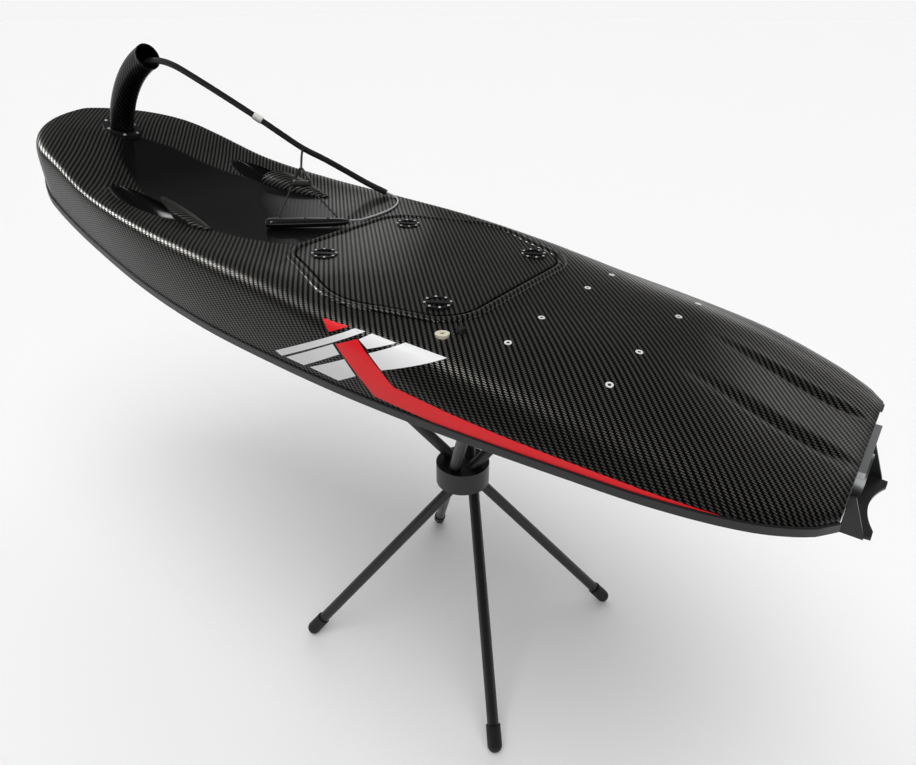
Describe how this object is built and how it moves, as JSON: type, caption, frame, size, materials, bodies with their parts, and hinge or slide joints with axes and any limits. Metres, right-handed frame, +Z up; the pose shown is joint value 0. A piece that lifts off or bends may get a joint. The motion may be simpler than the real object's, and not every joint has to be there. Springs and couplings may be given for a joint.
{
  "type": "motorized surfboard on a stand",
  "caption": "Petrol-driven jet surfboard in clear-coated carbon with a snorkel, engine hatch, jet pump and cable grip, parked on a folding crossed-tube stand.",
  "frame": {"origin": "on the floor under the middle of the box round the board and stand", "axes": "+X to the nose, +Y to port, +Z up"},
  "size_m": [1.851, 0.6068, 1.1767],
  "materials": {
    "carbon": "clear-coated carbon weave with painted stripes",
    "satin_black": "satin",
    "engine": "plain",
    "black_plastic": "satin",
    "white_plastic": "gloss",
    "cream_plastic": "gloss",
    "pump_metal": "satin",
    "cable_rubber": "matte",
    "cable_grey": "satin",
    "cord_black": "woven",
    "ring_metal": "gloss",
    "stand_paint": "satin powder coat",
    "rubber": "matte"
  },
  "bodies": {
    "board": {"hull_shell": "carbon", "deck_shell": "carbon", "snorkel_tube": "carbon", "handle_grip": "carbon", "edge_band": "satin_black", "scoop_port": "satin_black", "scoop_starboard": "satin_black", "stern_cowl": "satin_black", "engine_block": "engine", "snorkel_flange": "black_plastic", "vent_cap": "black_plastic", "stand_hub": "black_plastic", "bridle_spreader": "black_plastic", "deck_inserts_front": "white_plastic", "deck_inserts_rear": "white_plastic", "filler_plug": "cream_plastic", "pump_nozzle": "pump_metal", "intake_grate": "pump_metal", "transom_strip": "pump_metal", "tether_cable": "cable_rubber", "bridle_strap": "cable_rubber", "throttle_cable": "cable_grey", "bridle_cord_front": "cord_black", "bridle_cord_rear": "cord_black", "bridle_ring": "ring_metal", "stand_tube_1": "stand_paint", "stand_tube_2": "stand_paint", "stand_tube_3": "stand_paint", "stand_tube_4": "stand_paint", "foot_cap_1": "rubber", "foot_cap_2": "rubber", "foot_cap_3": "rubber", "foot_cap_4": "rubber", "top_cap_1": "rubber", "top_cap_2": "rubber", "top_cap_3": "rubber", "top_cap_4": "rubber"},
    "hatch": {"hatch_cover": "carbon", "hatch_latch_1": "black_plastic", "hatch_latch_2": "black_plastic", "hatch_latch_3": "black_plastic", "hatch_latch_4": "black_plastic"},
    "rotor": {"impeller": "pump_metal"}
  },
  "joints": [
    {"name": "impeller_spin", "type": "hinge", "parent": "board", "child": "rotor", "pos_m": [-0.77449, 0, 0.69], "axis": [1, 0, 0], "continuous": true},
    {"name": "hatch_lift", "type": "slide", "parent": "board", "child": "hatch", "axis": [0, 0, 1], "range_m": [0, 0.12]}
  ]
}
